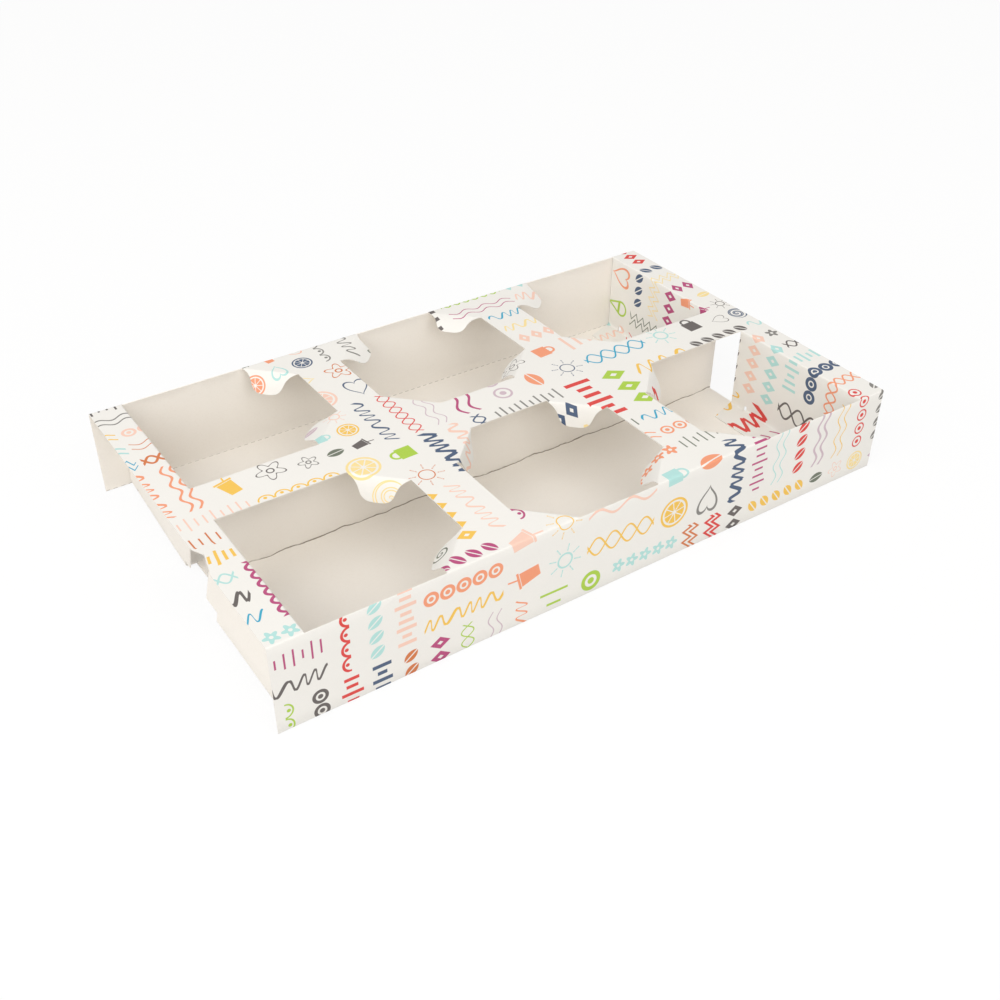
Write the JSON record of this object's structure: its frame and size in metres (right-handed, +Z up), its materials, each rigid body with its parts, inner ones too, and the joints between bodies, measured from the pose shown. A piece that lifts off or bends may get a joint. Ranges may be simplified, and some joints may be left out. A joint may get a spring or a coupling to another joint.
{
  "type": "cup carrier",
  "caption": "Low folding-board cup carrier: a flat sleeve with two rows of cup windows on top, an upright partition inside, tucked-in end flaps and small tongues at the windows.",
  "frame": {"origin": "centre of the overall box, on the plane the carrier stands on", "axes": "+X along the carrier's length, +Y towards the back row of windows, +Z up"},
  "size_m": [0.34, 0.1994, 0.0465],
  "materials": {
    "printed_board": "uncoated off-white folding board, printed outside in many colours, plain inside"
  },
  "bodies": {
    "root": {"folded_carrier": "printed_board"}
  },
  "joints": []
}
